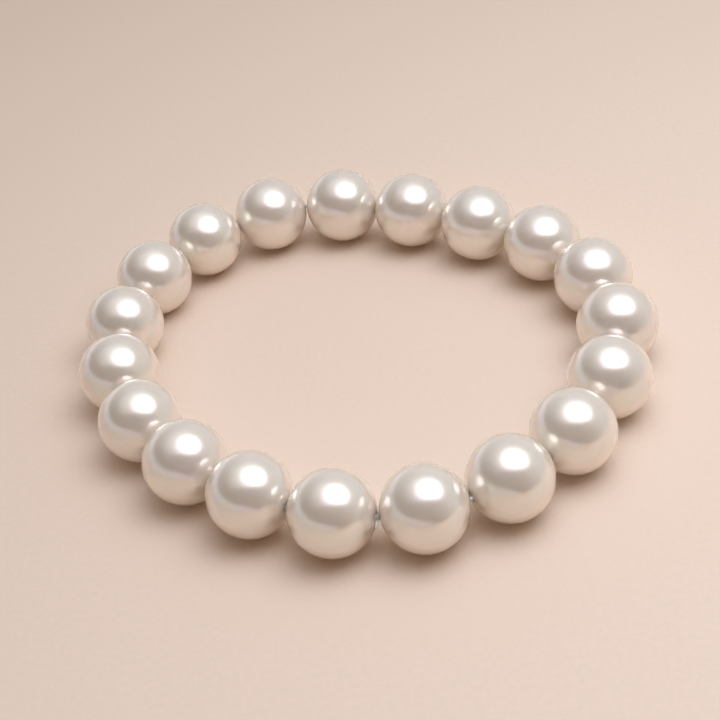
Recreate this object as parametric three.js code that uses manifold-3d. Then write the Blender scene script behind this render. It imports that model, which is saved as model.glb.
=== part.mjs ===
// A stretch bracelet: round drilled pearls strung close together on one clear elastic, which is
// tied between two of them. It lies on a table in a slightly oval ring.
// Millimetres, +Z up. The origin is on the table, under the middle of the box round the pearls.
import * as THREE from "three";
import { mergeVertices } from "three/addons/utils/BufferGeometryUtils.js";
import Module from "manifold-3d";

const wasm = await Module();
wasm.setup();

// Pearls
const pearlCount = 19;
const pearlDiameter = 10;
const pearlPlay = 0.1; // left between neighbours by the relaxed elastic
const pearlSides = 16; // round the hole; even, so that one flat is level underneath
const pearlRows = 11; // from mouth to mouth; odd, so that a flat band runs round the middle

// Elastic, and the hole it runs in
const elasticDiameter = 0.4;
const drillClearance = 0.25; // all round the elastic
const drillChamfer = 0.2; // broken edge at both mouths of the hole
const elasticBend = 0.6; // how far inside a mouth the elastic starts to turn
const elasticSides = 8;
const elasticBendSteps = 4;

// Knot in the joint that follows this pearl, pulled into the mouths of the holes
const knotAfterPearl = 11;
const knotStrandThickness = 0.3; // the elastic is pulled thinner in its tight turns and its end
const knotClearance = 0.04; // to the holes
const knotTurnTilt = THREE.MathUtils.degToRad(22); // the two turns lean against each other
const knotTurnSteps = 16;

// The one trimmed end that shows: it comes out between the pearls, away from the ring, and hangs
const trimmedEndReach = 1.05; // outward from the knot
const trimmedEndDrop = 0.6;
const trimmedEndCurl = 0.12; // sideways, towards the pearl that follows the knot
const trimmedEndSteps = 6;

// The ring as it lies: waves on a circle, each with its height as a share of the ring's mean
// radius and the angle from +X at which it peaks
const ringWaves = [
  { waves: 2, share: 0.07, peakDegrees: -46 },
  { waves: 3, share: 0.023, peakDegrees: 8 },
  { waves: 4, share: 0.013, peakDegrees: 11 },
];
const firstPearlDegrees = 107;

// Sizes that follow from those
const pearlRadius = pearlDiameter / 2;
const pearlPitch = pearlDiameter + pearlPlay;
const elasticRadius = elasticDiameter / 2;
const drillRadius = elasticRadius + drillClearance;
const mouthRadius = drillRadius + drillChamfer;
const mouthDistance = Math.sqrt(pearlRadius ** 2 - mouthRadius ** 2); // from the pearl's centre

const up = new THREE.Vector3(0, 0, 1);

// The x between low and high at which rising(x) passes through zero.
function solve(rising, low, high) {
  const halvings = 50;
  for (let i = 0; i < halvings; i++) {
    const middle = (low + high) / 2;
    if (rising(middle) < 0) low = middle;
    else high = middle;
  }
  return (low + high) / 2;
}

function ringPoint(angle, meanRadius) {
  const wave = ({ waves, share, peakDegrees }) =>
    share * Math.cos(waves * (angle - THREE.MathUtils.degToRad(peakDegrees)));
  const radius = meanRadius * ringWaves.reduce((form, each) => form + wave(each), 1);
  return new THREE.Vector3(radius * Math.cos(angle), radius * Math.sin(angle), pearlRadius);
}

// Angles of the pearls on a ring of that mean radius: clockwise from the first and one pitch
// apart, with one more where the first pearl would come again.
function pearlAngles(meanRadius) {
  const angles = [THREE.MathUtils.degToRad(firstPearlDegrees)];
  while (angles.length <= pearlCount) {
    const last = angles.at(-1);
    const from = ringPoint(last, meanRadius);
    const spare = (turn) => from.distanceTo(ringPoint(last - turn, meanRadius)) - pearlPitch;
    angles.push(last - solve(spare, 0, Math.PI / 2));
  }
  return angles;
}

// Centres of the pearls on the ring that they just fill, moved so that their box is centred.
function pearlCentres() {
  const roundRadius = (pearlCount * pearlPitch) / (2 * Math.PI);
  const searched = 0.2 * roundRadius;
  const unfilled = (radius) => {
    const angles = pearlAngles(radius);
    return angles.at(-1) - angles[0] + 2 * Math.PI;
  };
  const meanRadius = solve(unfilled, roundRadius - searched, roundRadius + searched);
  const angles = pearlAngles(meanRadius).slice(0, pearlCount);
  const centres = angles.map((angle) => ringPoint(angle, meanRadius));
  const middle = new THREE.Box3().setFromPoints(centres).getCenter(new THREE.Vector3()).setZ(0);
  return centres.map((centre) => centre.sub(middle));
}

// Directions of the holes: each is drilled along the ring, level between the two neighbours.
function pearlHeadings(centres) {
  return centres.map((_, i) => {
    const previous = centres[(i + pearlCount - 1) % pearlCount];
    const next = centres[(i + 1) % pearlCount];
    return next.clone().sub(previous).normalize();
  });
}

// One drilled pearl about its own centre, with the hole along X. The middles of its flats lie on
// the true sphere, so that it stands at its real height on the flat underneath.
function pearlGeometry() {
  const mouthAngle = Math.asin(mouthRadius / pearlRadius);
  const rowAngle = (Math.PI - 2 * mouthAngle) / pearlRows;
  const standOff = 1 / (Math.cos(Math.PI / pearlSides) * Math.cos(rowAngle / 2));
  const chamferEnd = mouthDistance - drillChamfer;
  const skin = [];
  for (let row = 0; row <= pearlRows; row++) {
    const angle = mouthAngle + row * rowAngle;
    const fromAxis = standOff * pearlRadius * Math.sin(angle);
    skin.push(new THREE.Vector2(fromAxis, -pearlRadius * Math.cos(angle)));
  }
  const holeStart = new THREE.Vector2(drillRadius, -chamferEnd);
  const holeEnd = new THREE.Vector2(drillRadius, chamferEnd);
  const profile = [holeStart, ...skin, holeEnd, holeStart];
  const levelFlat = Math.PI / pearlSides;
  return new THREE.LatheGeometry(profile, pearlSides, levelFlat).rotateZ(-Math.PI / 2);
}

function pearlMesh(name, centre, heading) {
  const material = new THREE.MeshStandardMaterial({
    color: "#ebe3da",
    roughness: 0.22,
    metalness: 0,
  });
  const mesh = new THREE.Mesh(pearlGeometry(), material);
  mesh.name = name;
  mesh.position.copy(centre);
  mesh.rotation.z = Math.atan2(heading.y, heading.x);
  return mesh;
}

// The elastic's middle line across the joint after one pearl, from one hole into the next.
function jointBend(centres, headings, i) {
  const next = (i + 1) % pearlCount;
  const straight = mouthDistance - elasticBend;
  const leaves = centres[i].clone().addScaledVector(headings[i], straight);
  const enters = centres[next].clone().addScaledVector(headings[next], -straight);
  const mouth = centres[i].clone().addScaledVector(headings[i], mouthDistance);
  const nextMouth = centres[next].clone().addScaledVector(headings[next], -mouthDistance);
  return new THREE.QuadraticBezierCurve3(leaves, mouth.lerp(nextMouth, 0.5), enters);
}

// A closed tube: a torus whose middle circle is laid along a level ring of points, anticlockwise.
function ringTube(route, radius, sides) {
  const tube = new THREE.TorusGeometry(1, radius, sides, route.length);
  const position = tube.attributes.position;
  for (let index = 0; index < position.count; index++) {
    const step = index % (route.length + 1) % route.length;
    const before = route[(step + route.length - 1) % route.length];
    const after = route[(step + 1) % route.length];
    const outward = after.clone().sub(before).normalize().cross(up);
    const aside = Math.hypot(position.getX(index), position.getY(index)) - 1;
    const point = route[step].clone().addScaledVector(outward, aside);
    position.setXYZ(index, point.x, point.y, point.z + position.getZ(index));
  }
  return tube;
}

// A closed geometry as a solid that can be joined to others, and back.
function solidOf(geometry) {
  const bare = geometry.clone().deleteAttribute("normal").deleteAttribute("uv");
  const merged = mergeVertices(bare, 1e-5);
  return new wasm.Manifold(
    new wasm.Mesh({
      numProp: 3,
      vertProperties: new Float32Array(merged.attributes.position.array),
      triVerts: new Uint32Array(merged.index.array),
    }),
  );
}

function geometryOf(solid) {
  const mesh = solid.getMesh();
  const geometry = new THREE.BufferGeometry();
  geometry.setAttribute("position", new THREE.BufferAttribute(mesh.vertProperties, 3));
  geometry.setIndex(new THREE.BufferAttribute(mesh.triVerts, 1));
  geometry.computeVertexNormals();
  return geometry;
}

// The two turns of the knot round the elastic, which runs along Z here.
function knotTurns() {
  const strandRadius = knotStrandThickness / 2;
  const turnRadius = drillRadius - knotClearance - strandRadius;
  return [-1, 1].map((side) =>
    new THREE.TorusGeometry(turnRadius, strandRadius, elasticSides, knotTurnSteps)
      .rotateX(side * knotTurnTilt)
      .translate(0, 0, side * strandRadius),
  );
}

// The trimmed end, from the middle of the knot out along X and down along -Y.
function trimmedEnd() {
  const section = new THREE.Shape().absarc(0, 0, knotStrandThickness / 2, 0, 2 * Math.PI);
  const path = new THREE.QuadraticBezierCurve3(
    new THREE.Vector3(0, 0, 0),
    new THREE.Vector3(trimmedEndReach, 0, trimmedEndCurl),
    new THREE.Vector3(trimmedEndReach, -trimmedEndDrop, trimmedEndCurl),
  );
  return new THREE.ExtrudeGeometry(section, {
    extrudePath: path,
    steps: trimmedEndSteps,
    curveSegments: elasticSides / 2,
    bevelEnabled: false,
  });
}

// The elastic through all the holes, with its knot and the end that shows.
function elasticMesh(centres, headings) {
  const bends = centres.map((_, i) => jointBend(centres, headings, i));
  const route = bends.flatMap((bend) => bend.getPoints(elasticBendSteps)).reverse();
  const knotBend = bends[knotAfterPearl - 1];
  const along = knotBend.v2.clone().sub(knotBend.v0).normalize();
  const outward = up.clone().cross(along);
  const place = new THREE.Matrix4().makeBasis(outward, up, along);
  place.setPosition(knotBend.getPoint(0.5));
  const knotPieces = [...knotTurns(), trimmedEnd()].map((piece) => piece.applyMatrix4(place));
  const solid = knotPieces.reduce(
    (joined, piece) => joined.add(solidOf(piece)),
    solidOf(ringTube(route, elasticRadius, elasticSides)),
  );
  const material = new THREE.MeshStandardMaterial({
    color: "#ece8e0",
    roughness: 0.15,
    metalness: 0,
  });
  const mesh = new THREE.Mesh(geometryOf(solid), material);
  mesh.name = "elastic";
  return mesh;
}

const bracelet = new THREE.Group();
const centres = pearlCentres();
const headings = pearlHeadings(centres);
centres.forEach((centre, i) => {
  const name = `pearl_${String(i + 1).padStart(2, "0")}`;
  bracelet.add(pearlMesh(name, centre, headings[i]));
});
bracelet.add(elasticMesh(centres, headings));

export default bracelet;
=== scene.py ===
# %% [markdown]
# A stretch bracelet of imitation pearls.
#
# The real thing is simple: nineteen round drilled pearls and one clear elastic. Its charm is
# in the finish, so this lesson spends a few cells on the shapes and the rest on how a pearl
# takes the light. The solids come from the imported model, which fixes every size and place.
# Here they are only measured, and then finer shapes stand for them.

import math

import bmesh
import bpy
from mathutils import Matrix, Vector


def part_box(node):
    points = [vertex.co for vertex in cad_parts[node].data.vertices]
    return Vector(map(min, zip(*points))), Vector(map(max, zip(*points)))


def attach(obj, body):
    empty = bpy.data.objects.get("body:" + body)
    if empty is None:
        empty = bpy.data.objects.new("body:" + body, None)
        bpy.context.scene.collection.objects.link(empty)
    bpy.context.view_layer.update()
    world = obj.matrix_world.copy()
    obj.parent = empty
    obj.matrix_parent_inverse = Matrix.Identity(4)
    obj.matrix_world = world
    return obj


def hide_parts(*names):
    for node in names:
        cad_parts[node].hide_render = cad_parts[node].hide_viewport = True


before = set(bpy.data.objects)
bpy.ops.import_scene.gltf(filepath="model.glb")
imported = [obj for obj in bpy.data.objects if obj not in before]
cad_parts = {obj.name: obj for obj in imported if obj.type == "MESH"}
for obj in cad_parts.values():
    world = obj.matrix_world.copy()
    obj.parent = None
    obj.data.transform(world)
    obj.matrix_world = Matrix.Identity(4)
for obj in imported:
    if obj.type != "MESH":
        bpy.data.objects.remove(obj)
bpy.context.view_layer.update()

MM = 0.001

# %% [markdown]
# Measure the string.
#
# Every pearl lies on the table, so the middle of its box is the middle of the pearl. The
# hole of each pearl points along the string, level between its two neighbours, and that is
# all that is needed to place a finer pearl or to lead the elastic through.

# %% Centres and directions of the pearls
PEARL_NODES = sorted(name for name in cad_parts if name.startswith("pearl_"))
PEARL_COUNT = len(PEARL_NODES)


def middle_of(name):
    low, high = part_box(name)
    return (low + high) / 2


CENTRES = [middle_of(name) for name in PEARL_NODES]
PEARL_RADIUS = CENTRES[0].z
HEADINGS = [
    (CENTRES[(i + 1) % PEARL_COUNT] - CENTRES[i - 1]).normalized() for i in range(PEARL_COUNT)
]
print("pearls:", PEARL_COUNT, "of", round(2 * PEARL_RADIUS / MM, 2), "mm")

# %% [markdown]
# The camera.
#
# The photograph looks down at the bracelet from about 39 degrees above the table through a
# moderate telephoto lens, held a little askew. The lens, the distance and the tilt were found
# by laying circles on the outlines of the pearls: the near ones are 46 pixels in radius and
# the far ones 37, and only one distance gives both.

# %% Camera
LENS_MM = 75
SENSOR_MM = 36
CAMERA_ELEVATION = math.radians(38.8)
CAMERA_ROLL = math.radians(-9.0)
CAMERA_DISTANCE = 182.5 * MM
AIM = Vector((-0.9 * MM, -4.2 * MM, PEARL_RADIUS))


def camera_axes(elevation, roll):
    """The camera's right, up and backward directions."""
    back = Vector((0, -math.cos(elevation), math.sin(elevation)))
    level_right = Vector((1, 0, 0))
    level_up = back.cross(level_right)
    right = math.cos(roll) * level_right + math.sin(roll) * level_up
    return right, back.cross(right), back


right, up, back = camera_axes(CAMERA_ELEVATION, CAMERA_ROLL)
camera = bpy.data.objects.new("camera", bpy.data.cameras.new("camera"))
bpy.context.scene.collection.objects.link(camera)
camera.matrix_world = Matrix.LocRotScale(
    AIM + back * CAMERA_DISTANCE, Matrix((right, up, back)).transposed().to_quaternion(), None
)
camera.data.lens = LENS_MM
camera.data.sensor_width = SENSOR_MM
camera.data.clip_start = 10 * MM
bpy.context.scene.camera = camera
print("camera at, mm:", [round(v / MM, 1) for v in camera.location])

# %% [markdown]
# Colours and nodes.
#
# Colours are picked on screen as sRGB hex values, and the shaders want linear ones, so one
# function turns them. A second one adds a node: it sets the node's properties and fills its
# sockets, with a value or with a link from another node. A third starts an empty material.

# %% Helpers for colours and nodes


def linear(hex_colour):
    """A colour such as '#f2e9df' as linear red, green, blue and alpha."""
    channels = [int(hex_colour[i : i + 2], 16) / 255 for i in (1, 3, 5)]
    return (*[c / 12.92 if c <= 0.04045 else ((c + 0.055) / 1.055) ** 2.4 for c in channels], 1)


def add_node(tree, kind, inputs=None, **settings):
    """Adds a node. An input is given a value, or another node's output socket to link to."""
    made = tree.nodes.new(kind)
    for name, value in settings.items():
        setattr(made, name, value)
    for key, value in (inputs or {}).items():
        if isinstance(value, bpy.types.NodeSocket):
            tree.links.new(value, made.inputs[key])
        else:
            made.inputs[key].default_value = value
    return made


def new_material(name):
    """An empty node material and its tree."""
    material = bpy.data.materials.new(name)
    material.use_nodes = True
    material.node_tree.nodes.clear()
    return material, material.node_tree


# %% [markdown]
# The pearl coating.
#
# An imitation pearl is a glass bead dipped many times in a lacquer full of tiny pearly flakes,
# which lie flat like fish scales. The eye gets three things from it. The flakes act as a soft
# mirror: a low metallic share, a satin roughness and their own high index of 2.2. Light also
# slips between them, wanders in the white core and comes out a few millimetres further on, so
# the shaded side glows warm: that is the subsurface share. The last dip is a clear top coat,
# which draws the small brighter glints where two pearls mirror each other.
#
# Interference in the layers tints the reflections, pink here and green there, and the
# thickness drifts over a few millimetres, so the tint does too. The real film has a much
# higher index, but flakes at all depths blur its rainbow, so an index just over that of air
# leaves the trace of colour that is left. The dipped surface also has a faint ripple like
# orange peel, 1 to 2 mm wide. The bump node draws it 0.03 mm deep and its strength keeps an
# eighth of that, a few thousandths of a millimetre.

# %% Pearl coating material
COATING_DRIFT = 7 * MM
LACQUER_RIPPLE = 1.6 * MM
RIPPLE_DEPTH = 0.03 * MM
FILM_THIN_NM = 590.0
FILM_THICK_NM = 660.0


def pearl_coating():
    material, tree = new_material("pearl lacquer over glass")
    place = add_node(tree, "ShaderNodeTexCoord").outputs["Object"]
    drift = add_node(
        tree,
        "ShaderNodeTexNoise",
        {"Vector": place, "Scale": 1 / COATING_DRIFT, "Detail": 1.0, "Roughness": 0.4},
    )
    body = add_node(
        tree,
        "ShaderNodeMix",
        {"Factor": drift.outputs["Fac"], "A": linear("#f6ecdd"), "B": linear("#f5e8de")},
        data_type="RGBA",
    )
    film = add_node(
        tree,
        "ShaderNodeMapRange",
        {
            "Value": drift.outputs["Fac"],
            "From Min": 0.3,
            "From Max": 0.7,
            "To Min": FILM_THIN_NM,
            "To Max": FILM_THICK_NM,
        },
    )
    ripple = add_node(tree, "ShaderNodeTexNoise", {"Vector": place, "Scale": 1 / LACQUER_RIPPLE})
    bump = add_node(
        tree,
        "ShaderNodeBump",
        {"Height": ripple.outputs["Fac"], "Strength": 0.12, "Distance": RIPPLE_DEPTH},
    )
    surface = add_node(
        tree,
        "ShaderNodeBsdfPrincipled",
        {
            "Base Color": body.outputs["Result"],
            "Metallic": 0.3,
            "Roughness": 0.22,
            "IOR": 2.2,
            "Specular IOR Level": 0.9,
            "Subsurface Weight": 0.6,
            "Subsurface Radius": (1.0, 0.85, 0.7),
            "Subsurface Scale": 2.5 * MM,
            "Normal": bump.outputs["Normal"],
            "Coat Weight": 1.0,
            "Coat Roughness": 0.15,
            "Coat IOR": 1.5,
            "Thin Film Thickness": film.outputs["Result"],
            "Thin Film IOR": 1.06,
        },
    )
    add_node(tree, "ShaderNodeOutputMaterial", {"Surface": surface.outputs["BSDF"]})
    return material


COATING = pearl_coating()
print("material:", COATING.name)

# %% [markdown]
# The bare core.
#
# The drill goes through the lacquer, so the wall of the hole is the ground white glass of the
# core: rough, without lustre, and milky, because light seeps in through the whole bead. The
# scratches of the drill are a few hundredths of a millimetre wide. They are drawn four times
# as coarse, so that they show at all.

# %% Ground glass material
GROUND_GRAIN = 0.12 * MM


def ground_glass():
    material, tree = new_material("ground glass of the drilled hole")
    place = add_node(tree, "ShaderNodeTexCoord").outputs["Object"]
    grain = add_node(tree, "ShaderNodeTexNoise", {"Vector": place, "Scale": 1 / GROUND_GRAIN})
    shade = add_node(
        tree,
        "ShaderNodeMix",
        {"Factor": grain.outputs["Fac"], "A": linear("#ede6dc"), "B": linear("#f9f4ec")},
        data_type="RGBA",
    )
    surface = add_node(
        tree,
        "ShaderNodeBsdfPrincipled",
        {
            "Base Color": shade.outputs["Result"],
            "Roughness": 0.55,
            "IOR": 1.52,
            "Subsurface Weight": 1.0,
            "Subsurface Radius": (1.0, 0.9, 0.8),
            "Subsurface Scale": 4 * MM,
        },
    )
    add_node(tree, "ShaderNodeOutputMaterial", {"Surface": surface.outputs["BSDF"]})
    return material


GROUND = ground_glass()
print("material:", GROUND.name)

# %% [markdown]
# The clear elastic.
#
# Stretch cord is drawn from clear polyurethane, and looks like a milky jelly. A cord of glass
# clear nodes would only show the dark hole behind it. The real one carries light along its
# length and lets it out again, so it glows, and a short subsurface distance does the same.
# Its skin is glossy where it is stretched and duller where it has rubbed on a pearl, which is
# the slow change in roughness.

# %% Elastic material
RUBBED_LENGTH = 0.8 * MM


def clear_elastic():
    material, tree = new_material("clear polyurethane stretch cord")
    place = add_node(tree, "ShaderNodeTexCoord").outputs["Object"]
    rubbed = add_node(tree, "ShaderNodeTexNoise", {"Vector": place, "Scale": 1 / RUBBED_LENGTH})
    gloss = add_node(
        tree,
        "ShaderNodeMapRange",
        {"Value": rubbed.outputs["Fac"], "To Min": 0.08, "To Max": 0.2},
    )
    surface = add_node(
        tree,
        "ShaderNodeBsdfPrincipled",
        {
            "Base Color": linear("#fbf6ee"),
            "Roughness": gloss.outputs["Result"],
            "IOR": 1.5,
            "Subsurface Weight": 1.0,
            "Subsurface Radius": (1.0, 0.95, 0.9),
            "Subsurface Scale": 0.6 * MM,
        },
    )
    add_node(tree, "ShaderNodeOutputMaterial", {"Surface": surface.outputs["BSDF"]})
    return material


ELASTIC = clear_elastic()
print("material:", ELASTIC.name)

# %% [markdown]
# The outline of a pearl.
#
# A pearl with a hole is a turned shape, so half of its section is drawn first. The outline
# follows the round skin from mouth to mouth, rolls over a small lip where the lacquer ends,
# and comes back along the straight wall of the hole. A plain sphere with a hole cut in it
# would leave a hard edge there, and the lip is what catches the light at the real mouth.

# %% Half of the section
HOLE_RADIUS = 0.45 * MM
LIP = 0.12 * MM
SKIN_ROWS = 44
LIP_ROWS = 3


def pearl_outline():
    """Half of the section, as distances along the hole and away from it."""
    mouth = HOLE_RADIUS + LIP
    start = math.asin(mouth / PEARL_RADIUS)
    skin = []
    for row in range(SKIN_ROWS + 1):
        angle = start + (math.pi - 2 * start) * row / SKIN_ROWS
        skin.append((-PEARL_RADIUS * math.cos(angle), PEARL_RADIUS * math.sin(angle)))
    face = PEARL_RADIUS * math.cos(start)
    lip = []
    for row in range(1, LIP_ROWS + 1):
        turn = math.pi / 2 * row / LIP_ROWS
        lip.append((face - LIP * (1 - math.cos(turn)), mouth - LIP * math.sin(turn)))
    return skin + lip + [(-along, away) for along, away in reversed(lip)]


print("points on the outline:", len(pearl_outline()))

# %% [markdown]
# Spin the outline.
#
# The outline is carried once round the hole, as on a lathe, and its last position is merged
# with the first, so that no seam is left. Spinning can turn a shape inside out, so the normals
# are worked out again. The faces of the hole's wall are marked with a named attribute, and the
# string below gives the bare core to them alone.

# %% One pearl
TURN_STEPS = 72
WALL_MARGIN = 0.1 * LIP
MERGE_DISTANCE = 1e-7


def spun_pearl():
    outline = pearl_outline()
    form = bmesh.new()
    ring = [form.verts.new((along, 0, away)) for along, away in outline]
    edges = [form.edges.new((ring[i - 1], ring[i])) for i in range(len(ring))]
    bmesh.ops.spin(
        form,
        geom=ring + edges,
        cent=(0, 0, 0),
        axis=(1, 0, 0),
        angle=2 * math.pi,
        steps=TURN_STEPS,
        use_merge=True,
    )
    bmesh.ops.remove_doubles(form, verts=form.verts, dist=MERGE_DISTANCE)
    bmesh.ops.recalc_face_normals(form, faces=form.faces)
    bare = form.faces.layers.bool.new("bare core")
    for face in form.faces:
        face.smooth = True
        middle = face.calc_center_median()
        face[bare] = math.hypot(middle.y, middle.z) < HOLE_RADIUS + WALL_MARGIN
    mesh = bpy.data.meshes.new("one pearl")
    form.to_mesh(mesh)
    form.free()
    return mesh


pearl_pattern = bpy.data.objects.new("pearl_pattern", spun_pearl())
bpy.context.scene.collection.objects.link(pearl_pattern)
print("faces of one pearl:", len(pearl_pattern.data.polygons))

# %% [markdown]
# Trees with named inputs.
#
# What repeats or follows a path is a job for Geometry Nodes. A tree is like a function: named
# inputs go in and a shape comes out. The first helper starts such a tree. The second draws a
# path as edges, with a number on each point. The third runs a tree on a path and keeps the
# result as a plain mesh, because an exported model holds neither instances nor live nodes. It
# sets each input by its identifier, since the name is only a label.

# %% Helpers that start a tree and run it


def start_tree(name, inputs, result):
    """A tree with its named inputs and result, and the sockets that carry the inputs into it."""
    tree = bpy.data.node_groups.new(name, "GeometryNodeTree")
    for label, kind in inputs.items():
        tree.interface.new_socket(label, in_out="INPUT", socket_type=kind)
    tree.interface.new_socket(result, in_out="OUTPUT", socket_type="NodeSocketGeometry")
    return tree, add_node(tree, "NodeGroupInput").outputs


def path_mesh(name, points, closed):
    """Points joined by edges in their order, each with its number."""
    count = len(points)
    edges = [(i, (i + 1) % count) for i in range(count if closed else count - 1)]
    mesh = bpy.data.meshes.new(name)
    mesh.from_pydata(points, edges, [])
    mesh.attributes.new("number", "INT", "POINT").data.foreach_set("value", range(count))
    return mesh


def made_by_tree(name, path, tree, inputs):
    """A plain mesh object: what the tree makes of that path with those named inputs."""
    piece = bpy.data.objects.new(name, path)
    bpy.context.scene.collection.objects.link(piece)
    modifier = piece.modifiers.new("nodes", "NODES")
    modifier.node_group = tree
    identifiers = {item.name: item.identifier for item in tree.interface.items_tree}
    for label, value in inputs.items():
        modifier[identifiers[label]] = value
    bpy.context.view_layer.update()
    evaluated = piece.evaluated_get(bpy.context.evaluated_depsgraph_get())
    result = bpy.data.meshes.new_from_object(evaluated)
    piece.modifiers.clear()
    piece.data = result
    result.name = name
    return piece


# %% [markdown]
# The string as a node tree.
#
# The path is a closed loop of edges with one point for each pearl. Made into a curve, it knows
# its own direction at each point, and that turns the hole of a pearl along the string. A number
# picks which pearl is made, because each one is a piece of its own, as on the real bracelet.

# %% Tree that strings the pearls


def string_tree():
    inputs = {
        "Path": "NodeSocketGeometry",
        "Pearl": "NodeSocketObject",
        "Number": "NodeSocketInt",
        "Coating": "NodeSocketMaterial",
        "Core": "NodeSocketMaterial",
    }
    tree, given = start_tree("pearls on a string", inputs, "Pearls")
    curve = add_node(tree, "GeometryNodeMeshToCurve", {"Mesh": given["Path"]})
    tangent = add_node(tree, "GeometryNodeInputTangent")
    turn = add_node(
        tree, "FunctionNodeAlignRotationToVector", {"Vector": tangent.outputs["Tangent"]}, axis="X"
    )
    numbers = add_node(tree, "GeometryNodeInputNamedAttribute", {"Name": "number"}, data_type="INT")
    wanted = add_node(
        tree,
        "FunctionNodeCompare",
        {"A": numbers.outputs["Attribute"], "B": given["Number"]},
        data_type="INT",
        operation="EQUAL",
    )
    pearl = add_node(tree, "GeometryNodeObjectInfo", {"Object": given["Pearl"]})
    strung = add_node(
        tree,
        "GeometryNodeInstanceOnPoints",
        {
            "Points": curve.outputs["Curve"],
            "Selection": wanted.outputs["Result"],
            "Instance": pearl.outputs["Geometry"],
            "Rotation": turn.outputs["Rotation"],
        },
    )
    real = add_node(tree, "GeometryNodeRealizeInstances", {"Geometry": strung.outputs["Instances"]})
    coated = add_node(
        tree, "GeometryNodeSetMaterial", {"Geometry": real.outputs["Geometry"], "Material": given["Coating"]}
    )
    bare = add_node(tree, "GeometryNodeInputNamedAttribute", {"Name": "bare core"}, data_type="BOOLEAN")
    drilled = add_node(
        tree,
        "GeometryNodeSetMaterial",
        {
            "Geometry": coated.outputs["Geometry"],
            "Selection": bare.outputs["Attribute"],
            "Material": given["Core"],
        },
    )
    add_node(tree, "NodeGroupOutput", {"Pearls": drilled.outputs["Geometry"]})
    return tree


STRING_TREE = string_tree()
print("nodes in the string's tree:", len(STRING_TREE.nodes))

# %% [markdown]
# The nineteen pearls.
#
# The tree runs once for each pearl, on the same path, with only its number changed. Each
# finished pearl takes the place of its plain solid, which stays for the physics.

# %% Pearls
pearls = []
for number, node in enumerate(PEARL_NODES):
    pearl = made_by_tree(
        f"coated_{node}",
        path_mesh(f"string for {node}", CENTRES, closed=True),
        STRING_TREE,
        {"Pearl": pearl_pattern, "Number": number, "Coating": COATING, "Core": GROUND},
    )
    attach(pearl, "root")
    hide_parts(node)
    pearls.append(pearl)
bpy.data.objects.remove(pearl_pattern)
print("pearls:", len(pearls), "triangles in each:", sum(len(p.vertices) - 2 for p in pearls[0].data.polygons))

# %% [markdown]
# The route of the elastic.
#
# The elastic is under a little tension, so it runs straight through each hole and bends only
# across the joint between two pearls. The pearls nearly touch on the inner side of the ring and
# open towards the outside, because the ring is round, and there the elastic can just be seen.
# A smooth bend needs three points: where it starts, where it ends and the corner between them.

# %% Route through the holes
ELASTIC_RADIUS = 0.2 * MM
ELASTIC_BEND = 0.6 * MM
BEND_STEPS = 10
MOUTH_DISTANCE = math.sqrt(PEARL_RADIUS**2 - (HOLE_RADIUS + LIP) ** 2)


def bent(start, corner, end, steps):
    """Points on the curve from start to end that leaves and arrives in line with the corner."""
    shares = [i / steps for i in range(steps + 1)]
    return [(1 - s) ** 2 * start + 2 * s * (1 - s) * corner + s**2 * end for s in shares]


def joint_bend(i):
    """The elastic's middle line from inside one pearl to inside the next."""
    following = (i + 1) % PEARL_COUNT
    straight = MOUTH_DISTANCE - ELASTIC_BEND
    leaves = CENTRES[i] + HEADINGS[i] * straight
    enters = CENTRES[following] - HEADINGS[following] * straight
    mouth = CENTRES[i] + HEADINGS[i] * MOUTH_DISTANCE
    next_mouth = CENTRES[following] - HEADINGS[following] * MOUTH_DISTANCE
    return bent(leaves, (mouth + next_mouth) / 2, enters, BEND_STEPS)


route = [point for i in range(PEARL_COUNT) for point in joint_bend(i)]
length = sum((route[i] - route[i - 1]).length for i in range(len(route)))
print("elastic round the ring, mm:", round(length / MM, 1))

# %% [markdown]
# The knot.
#
# The two ends are tied between two pearls and the knot is pulled into their holes. What it
# shows is one strand that winds twice round the elastic, leaves from underneath through the
# opening between the pearls, and hangs over where it was cut. The other end is tucked into a
# hole and can't be seen. Pulled tight, the strand is thinner than the elastic.

# %% Route of the knot and its trimmed end
KNOT_AFTER = PEARL_NODES.index("pearl_11")
KNOT_STRAND_RADIUS = 0.15 * MM
KNOT_CLEARANCE = 0.04 * MM
KNOT_TURNS = 2
KNOT_STEPS_PER_TURN = 16
END_REACH = 1.05 * MM
END_DROP = 0.6 * MM
END_CURL = 0.12 * MM


def knot_route():
    """The strand's middle line: round the elastic, then out, sideways and down to its cut end."""
    bend = joint_bend(KNOT_AFTER)
    along = (bend[-1] - bend[0]).normalized()
    middle = bend[len(bend) // 2]
    upward = Vector((0, 0, 1))
    outward = upward.cross(along)
    winding = HOLE_RADIUS - KNOT_CLEARANCE - KNOT_STRAND_RADIUS
    width = KNOT_STRAND_RADIUS * KNOT_TURNS
    steps = KNOT_TURNS * KNOT_STEPS_PER_TURN
    points = []
    for i in range(steps + 1):
        left = 1 - i / steps
        angle = -math.pi / 2 - 2 * math.pi * KNOT_TURNS * left
        round_it = math.cos(angle) * outward + math.sin(angle) * upward
        points.append(middle + winding * round_it - left * width * along)
    beyond = middle + END_REACH * outward + END_CURL * along
    corner = beyond - winding * upward
    tip = beyond - END_DROP * upward
    return points + bent(points[-1], corner, tip, BEND_STEPS)[1:]


knot_path = bpy.data.objects.new("knot_path", path_mesh("knot path", knot_route(), closed=False))
bpy.context.scene.collection.objects.link(knot_path)
print("points on the knot:", len(knot_path.data.vertices))

# %% [markdown]
# The elastic as a node tree.
#
# A round section is carried along both routes, once for the elastic and once for the thinner
# strand of the knot. The strand's cut ends are closed. Both then join in one piece, because on
# the real bracelet they are one cord.

# %% Tree that draws the elastic
ELASTIC_SIDES = 12


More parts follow.
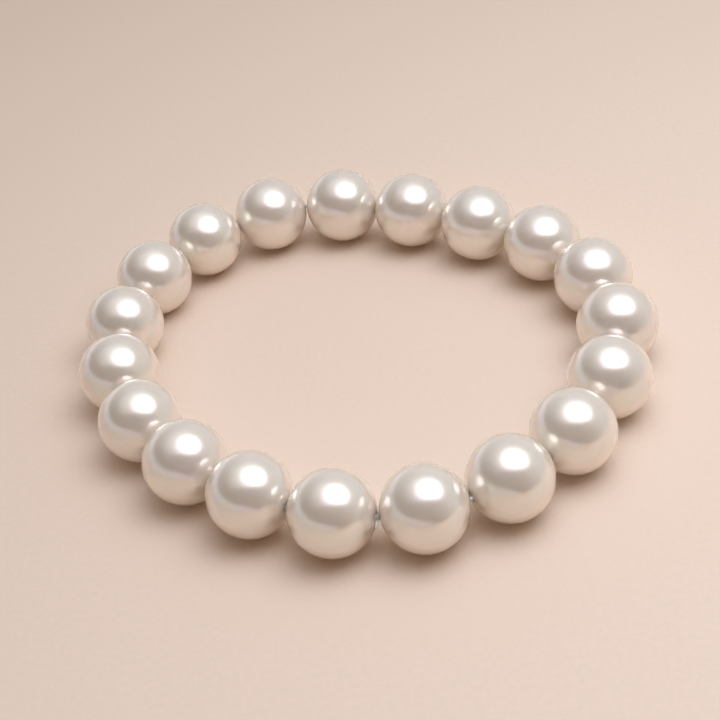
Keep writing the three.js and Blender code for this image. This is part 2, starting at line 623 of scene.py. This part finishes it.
def elastic_tree():
    inputs = {
        "Path": "NodeSocketGeometry",
        "Radius": "NodeSocketFloat",
        "Knot": "NodeSocketObject",
        "Knot radius": "NodeSocketFloat",
        "Sides": "NodeSocketInt",
        "Cord": "NodeSocketMaterial",
    }
    tree, given = start_tree("elastic with its knot", inputs, "Elastic")
    knot = add_node(tree, "GeometryNodeObjectInfo", {"Object": given["Knot"]}).outputs["Geometry"]
    strands = []
    for path, radius in ((given["Path"], given["Radius"]), (knot, given["Knot radius"])):
        curve = add_node(tree, "GeometryNodeMeshToCurve", {"Mesh": path})
        section = add_node(
            tree, "GeometryNodeCurvePrimitiveCircle", {"Resolution": given["Sides"], "Radius": radius}
        )
        strand = add_node(
            tree,
            "GeometryNodeCurveToMesh",
            {"Curve": curve.outputs["Curve"], "Profile Curve": section.outputs["Curve"], "Fill Caps": True},
        )
        strands.append(strand.outputs["Mesh"])
    # The one socket of a join takes any number of links.
    joined = add_node(tree, "GeometryNodeJoinGeometry", {"Geometry": strands[1]})
    tree.links.new(strands[0], joined.inputs["Geometry"])
    real = add_node(tree, "GeometryNodeRealizeInstances", {"Geometry": joined.outputs["Geometry"]})
    drawn = add_node(
        tree, "GeometryNodeSetMaterial", {"Geometry": real.outputs["Geometry"], "Material": given["Cord"]}
    )
    add_node(tree, "NodeGroupOutput", {"Elastic": drawn.outputs["Geometry"]})
    return tree


elastic = made_by_tree(
    "stretch_elastic",
    path_mesh("elastic path", route, closed=True),
    elastic_tree(),
    {
        "Radius": ELASTIC_RADIUS,
        "Knot": knot_path,
        "Knot radius": KNOT_STRAND_RADIUS,
        "Sides": ELASTIC_SIDES,
        "Cord": ELASTIC,
    },
)
bpy.data.objects.remove(knot_path)
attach(elastic, "root")
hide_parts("elastic")
print("elastic faces:", len(elastic.data.polygons))

# %% [markdown]
# The table.
#
# The bracelet lies on a plain pale sheet of card. Its warm tone matters: the lower half of
# every pearl is a mirror for it. Uncoated card is matte and a little cloudy from its pressed
# fibres. Real fibres are under a tenth of a millimetre wide and are drawn ten times as wide,
# so that they show, but so faint that they leave the sheet plain.

# %% Floor
FLOOR_SIZE = 4.0
FIBRE_WIDTH = 0.7 * MM
FIBRE_DEPTH = 0.03 * MM


def card_material():
    material, tree = new_material("matte uncoated card")
    place = add_node(tree, "ShaderNodeTexCoord").outputs["Object"]
    fibres = add_node(
        tree, "ShaderNodeTexNoise", {"Vector": place, "Scale": 1 / FIBRE_WIDTH, "Detail": 3.0}
    )
    shade = add_node(
        tree,
        "ShaderNodeMix",
        {"Factor": fibres.outputs["Fac"], "A": linear("#e8d3bf"), "B": linear("#f0d9c6")},
        data_type="RGBA",
    )
    bump = add_node(
        tree,
        "ShaderNodeBump",
        {"Height": fibres.outputs["Fac"], "Strength": 0.3, "Distance": FIBRE_DEPTH},
    )
    surface = add_node(
        tree,
        "ShaderNodeBsdfPrincipled",
        {
            "Base Color": shade.outputs["Result"],
            "Roughness": 0.75,
            "IOR": 1.4,
            "Normal": bump.outputs["Normal"],
        },
    )
    add_node(tree, "ShaderNodeOutputMaterial", {"Surface": surface.outputs["BSDF"]})
    return material


def card_sheet():
    half = FLOOR_SIZE / 2
    corners = [(-half, -half, 0), (half, -half, 0), (half, half, 0), (-half, half, 0)]
    mesh = bpy.data.meshes.new("floor")
    mesh.from_pydata(corners, [], [(0, 1, 2, 3)])
    mesh.materials.append(card_material())
    sheet = bpy.data.objects.new("floor", mesh)
    bpy.context.scene.collection.objects.link(sheet)
    return sheet


card_sheet()
print("floor, m:", FLOOR_SIZE, "square")

# %% [markdown]
# The light overhead.
#
# A pearl mirrors its whole studio, so the light is made first of all for what the pearls show.
# The highlight tells where the lamp hangs. A mirror ball turns each spot on it into a direction,
# and the directions from all nineteen pearls cross 27 centimetres above the bracelet, a little
# to the right. A lamp so near has to be a thing in the scene: painted on a far sky, it would
# slip out of place on the pearls at the back. It hangs a little lower than that, at 23
# centimetres, because the far ceiling behind it is part of each highlight too, and its share
# doesn't shift from pearl to pearl.
#
# It is a sheet of diffusion cloth with a round pool of light on it, full in the middle and gone
# at the rim. A screen cuts it off towards the camera, which gives the highlights their crisper
# lower edge. The cloth shines downwards only and is otherwise clear, so that the room shows
# through it.

# %% Lit cloth above the table
LAMP_HEIGHT = 229 * MM
LAMP_CENTRE = (91 * MM, -32 * MM)
LAMP_HALF_SIZE = (198 * MM, 178 * MM)
LAMP_SCREEN = (-174 * MM, -106 * MM)
LAMP_WHITE = "#ecf2ff"
CLOTH_MARGIN = 1 * MM
FULL_CORE = 0.1


def pool_of_light(tree, place, centre, half_size, screen, brightness):
    """Brightness at a place on a level plane: a round pool, cut off by a screen at its near side."""
    from_centre = add_node(
        tree,
        "ShaderNodeMapping",
        {"Vector": place, "Location": centre, "Scale": (*half_size, 1)},
        vector_type="TEXTURE",
    )
    disc = add_node(
        tree,
        "ShaderNodeTexGradient",
        {"Vector": from_centre.outputs["Vector"]},
        gradient_type="SPHERICAL",
    )
    pool = add_node(
        tree,
        "ShaderNodeMapRange",
        {"Value": disc.outputs["Fac"], "From Max": 1 - FULL_CORE, "To Max": brightness},
        interpolation_type="SMOOTHSTEP",
    )
    depth = add_node(tree, "ShaderNodeSeparateXYZ", {"Vector": place}).outputs["Y"]
    past_screen = add_node(
        tree,
        "ShaderNodeMapRange",
        {"Value": depth, "From Min": screen[0], "From Max": screen[1]},
        interpolation_type="SMOOTHSTEP",
    )
    return add_node(
        tree,
        "ShaderNodeMath",
        {0: pool.outputs["Result"], 1: past_screen.outputs["Result"]},
        operation="MULTIPLY",
    ).outputs["Value"]


def lit_cloth():
    material, tree = new_material("diffusion cloth lit from behind")
    place = add_node(tree, "ShaderNodeTexCoord").outputs["Object"]
    light = pool_of_light(
        tree,
        place,
        centre=(*LAMP_CENTRE, LAMP_HEIGHT),
        half_size=LAMP_HALF_SIZE,
        screen=LAMP_SCREEN,
        brightness=3.8,
    )
    glow = add_node(tree, "ShaderNodeEmission", {"Color": linear(LAMP_WHITE), "Strength": light})
    clear = add_node(tree, "ShaderNodeBsdfTransparent").outputs["BSDF"]
    lower_side = add_node(tree, "ShaderNodeAddShader", {0: glow.outputs["Emission"], 1: clear})
    upper = add_node(tree, "ShaderNodeNewGeometry").outputs["Backfacing"]
    both = add_node(tree, "ShaderNodeMixShader", {0: upper, 1: lower_side.outputs[0], 2: clear})
    add_node(tree, "ShaderNodeOutputMaterial", {"Surface": both.outputs[0]})
    return material


def cloth_sheet():
    """A level sheet over the table, just larger than its light and facing down."""
    reach = [half + CLOTH_MARGIN for half in LAMP_HALF_SIZE]
    left, right_end = LAMP_CENTRE[0] - reach[0], LAMP_CENTRE[0] + reach[0]
    near, far = LAMP_SCREEN[0] - CLOTH_MARGIN, LAMP_CENTRE[1] + reach[1]
    corners = [(left, near), (left, far), (right_end, far), (right_end, near)]
    mesh = bpy.data.meshes.new("lamp_cloth")
    mesh.from_pydata([(*corner, LAMP_HEIGHT) for corner in corners], [], [(0, 1, 2, 3)])
    mesh.materials.append(lit_cloth())
    sheet = bpy.data.objects.new("lamp_cloth", mesh)
    bpy.context.scene.collection.objects.link(sheet)
    return sheet


lamp_cloth = cloth_sheet()
print("lamp cloth faces:", [round(v, 1) for v in lamp_cloth.data.polygons[0].normal])

# %% [markdown]
# The ceiling of the room.
#
# Behind the cloth the pale ceiling of the room catches some of its light. It is far away, so it
# is painted in the world, by direction: a direction divided by how steeply it rises gives a
# place on a flat ceiling one unit up. The pool of light there is weak and wide. It blurs the
# rim of the highlights and keeps the floor pale as far as it goes.

# %% Wide light on the ceiling
LOWEST_RISE = 0.05


def ceiling_light(tree, direction, rise):
    """The light of the ceiling in that direction."""
    divisor = add_node(tree, "ShaderNodeMath", {0: rise, 1: LOWEST_RISE}, operation="MAXIMUM")
    ceiling = add_node(
        tree, "ShaderNodeVectorMath", {0: direction, 1: divisor.outputs["Value"]}, operation="DIVIDE"
    )
    return pool_of_light(
        tree,
        ceiling.outputs["Vector"],
        centre=(0.16, 0, 1),
        half_size=(1.40, 1.20),
        screen=(-0.65, -0.35),
        brightness=0.75,
    )


# %% [markdown]
# The low card.
#
# Without something bright at the camera's left, that side of each pearl would sink into the
# dark room. A white card stands there, low behind the table and rising towards the left, and
# draws the pale band round the left flank of every pearl.

# %% White card at the left
TOWARDS_LEFT = (-0.98, -0.17, 0)
CARD_TOP = 0.27
CARD_BRIGHTNESS = 0.54


def card_light(tree, direction, rise):
    """The light of the white card, whose upper edge climbs towards the left."""
    leftness = add_node(
        tree, "ShaderNodeVectorMath", {0: direction, 1: TOWARDS_LEFT}, operation="DOT_PRODUCT"
    ).outputs["Value"]
    upper_edge = add_node(
        tree,
        "ShaderNodeMapRange",
        {"Value": leftness, "From Min": -0.3, "From Max": 0.6, "To Max": CARD_TOP},
        interpolation_type="SMOOTHSTEP",
    )
    above_edge = add_node(
        tree, "ShaderNodeMath", {0: rise, 1: upper_edge.outputs["Result"]}, operation="SUBTRACT"
    )
    light = add_node(
        tree,
        "ShaderNodeMapRange",
        {
            "Value": above_edge.outputs["Value"],
            "From Min": -0.03,
            "From Max": 0.09,
            "To Min": CARD_BRIGHTNESS,
            "To Max": 0.0,
        },
        interpolation_type="SMOOTHSTEP",
    )
    width = add_node(
        tree,
        "ShaderNodeMapRange",
        {"Value": leftness, "From Min": -0.5, "From Max": 0.2},
        interpolation_type="SMOOTHSTEP",
    )
    return add_node(
        tree,
        "ShaderNodeMath",
        {0: light.outputs["Result"], 1: width.outputs["Result"]},
        operation="MULTIPLY",
    ).outputs["Value"]


# %% [markdown]
# The room and the whole studio.
#
# The room is pale at the back and on the right and a dim brown in front and on the left. The
# dim side is what makes the grey cap under each highlight, and the card on the floor makes the
# cream lower half. The lamps are a little blue, as daylight is beside a warm room. The Standard
# view is chosen because it shows whites as white, where the default view would grey them.

# %% World that holds the studio
TOWARDS_PALE_WALLS = (0.65, 0.76, 0)
DIM_SIDE = "#65523b"
PALE_WALLS = "#bdbab7"


def room_colour(tree, direction):
    """From the dim side of the room to its pale walls."""
    paleness = add_node(
        tree, "ShaderNodeVectorMath", {0: direction, 1: TOWARDS_PALE_WALLS}, operation="DOT_PRODUCT"
    )
    share = add_node(
        tree,
        "ShaderNodeMapRange",
        {"Value": paleness.outputs["Value"], "From Min": -0.6, "From Max": 0.8},
        interpolation_type="SMOOTHSTEP",
    )
    return add_node(
        tree,
        "ShaderNodeMix",
        {"Factor": share.outputs["Result"], "A": linear(DIM_SIDE), "B": linear(PALE_WALLS)},
        data_type="RGBA",
    ).outputs["Result"]


def studio_world():
    world = bpy.data.worlds.new("studio")
    world.use_nodes = True
    tree = world.node_tree
    tree.nodes.clear()
    direction = add_node(tree, "ShaderNodeTexCoord").outputs["Generated"]
    rise = add_node(tree, "ShaderNodeSeparateXYZ", {"Vector": direction}).outputs["Z"]
    ceiling = ceiling_light(tree, direction, rise)
    card = card_light(tree, direction, rise)
    white = add_node(tree, "ShaderNodeMath", {0: ceiling, 1: card}, operation="ADD").outputs["Value"]
    lamps = add_node(tree, "ShaderNodeBackground", {"Color": linear(LAMP_WHITE), "Strength": white})
    room = add_node(tree, "ShaderNodeBackground", {"Color": room_colour(tree, direction)})
    studio = add_node(tree, "ShaderNodeAddShader", {0: lamps.outputs[0], 1: room.outputs[0]})
    add_node(tree, "ShaderNodeOutputWorld", {"Surface": studio.outputs[0]})
    return world


bpy.context.scene.world = studio_world()
bpy.context.scene.view_settings.view_transform = "Standard"
print("nodes in the studio:", len(bpy.context.scene.world.node_tree.nodes))
